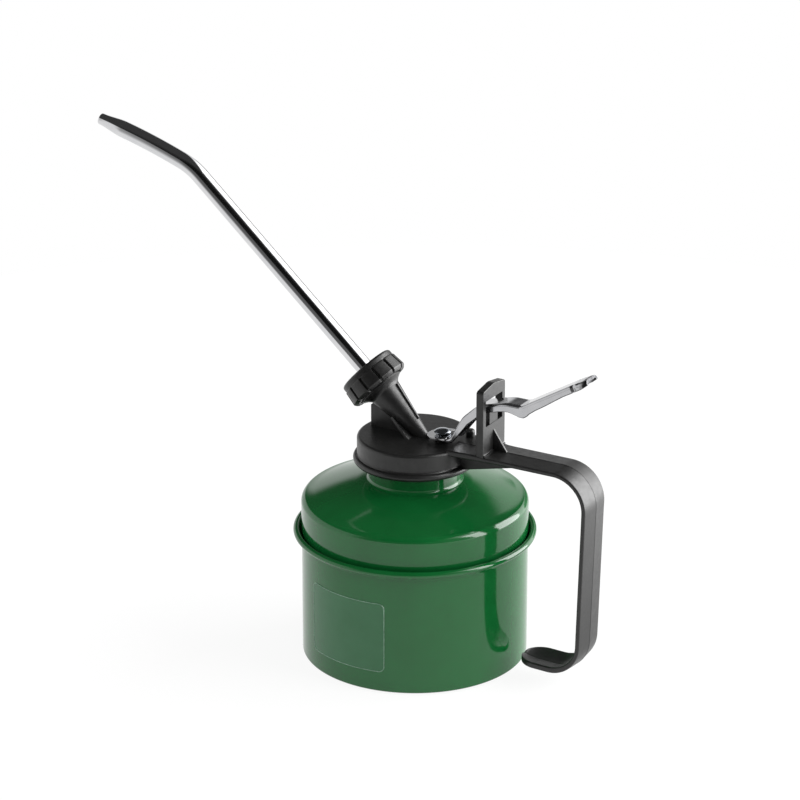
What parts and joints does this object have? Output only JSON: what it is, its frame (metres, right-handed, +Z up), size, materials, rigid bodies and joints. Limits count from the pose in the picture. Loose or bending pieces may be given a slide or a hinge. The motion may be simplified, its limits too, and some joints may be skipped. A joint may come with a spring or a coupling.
{
  "type": "pump oil can",
  "caption": "Hand pump oil can with enamelled steel reservoir, screw-on black head with strap handle, bent spout held by a union nut, and a rocking thumb lever.",
  "frame": {"origin": "centre of the can's flat base", "axes": "+Z up, +X towards the strap handle, the spout leans towards -X; spout, lever and handle lie in the plane Y = 0"},
  "size_m": [0.2516, 0.1074, 0.2233],
  "materials": {
    "green_enamel": "gloss green stoving enamel on pressed steel",
    "black_nylon": "satin black moulded nylon",
    "chrome": "bright chromed steel",
    "steel": "plain turned steel",
    "brass": "plain turned brass",
    "rubber": "oil-proof rubber"
  },
  "bodies": {
    "reservoir": {"reservoir_cup": "green_enamel", "reservoir_dome": "green_enamel"},
    "gasket": {"cap_gasket": "rubber"},
    "head": {"head_moulding": "black_nylon", "rod_gland": "black_nylon", "rod_seal": "rubber", "pump_cylinder": "brass", "foot_valve_body": "brass", "ball_cage": "steel", "suction_tube": "brass", "inlet_strainer": "steel", "return_spring": "steel"},
    "plunger": {"plunger_rod": "steel", "piston_washer": "steel", "piston_cup": "rubber", "piston_nut": "brass"},
    "lever": {"thumb_lever": "chrome"},
    "spout_washer": {"spout_seal": "rubber"},
    "spout": {"spout_tube": "chrome", "spout_ferrule": "brass"},
    "nut": {"spout_nut": "black_nylon"},
    "foot_ball": {"foot_valve_ball": "steel"},
    "outlet_ball": {"delivery_ball": "steel"}
  },
  "joints": [
    {"name": "head_lift", "type": "slide", "parent": "reservoir", "child": "gasket", "axis": [0, 0, 1], "range_m": [0, 0.007]},
    {"name": "head_unscrew", "type": "hinge", "parent": "gasket", "child": "head", "pos_m": [0, 0, 0.0987], "axis": [0, 0, 1], "range_deg": [0, 720]},
    {"name": "plunger_lift", "type": "slide", "parent": "head", "child": "plunger", "axis": [0, 0, 1], "range_m": [0, 0.0103], "deforming": ["return_spring"]},
    {"name": "lever_press", "type": "hinge", "parent": "plunger", "child": "lever", "pos_m": [0.01055, 0, 0.1052], "axis": [0, 1, 0], "range_deg": [0, 20], "stiffness_Nm_per_rad": 0.52, "springref_deg": -15.53},
    {"name": "spout_lift", "type": "slide", "parent": "head", "child": "spout_washer", "axis": [-0.7478, 0, 0.6639], "range_m": [0, 0.005]},
    {"name": "nut_unscrew", "type": "hinge", "parent": "spout_washer", "child": "nut", "pos_m": [-0.02161, 0, 0.12447], "axis": [-0.7478, 0, 0.6639], "range_deg": [0, 720.01]},
    {"name": "spout_swivel", "type": "hinge", "parent": "spout_washer", "child": "spout", "pos_m": [-0.02161, 0, 0.12447], "axis": [-0.7478, 0, 0.6639], "continuous": true},
    {"name": "foot_ball_lift", "type": "slide", "parent": "head", "child": "foot_ball", "axis": [0, 0, 1], "range_m": [0, 0.0008]},
    {"name": "outlet_ball_lift", "type": "slide", "parent": "head", "child": "outlet_ball", "axis": [-0.7478, 0, 0.6639], "range_m": [0, 0.0015]}
  ],
  "couplings": [
    {"joint": "head_lift", "follows": "head_unscrew", "m_per_rad": 0.00055704},
    {"joint": "plunger_lift", "follows": "lever_press", "m_per_rad": 0.029507},
    {"joint": "nut_unscrew", "follows": "spout_lift", "rad_per_m": 2513.3}
  ]
}
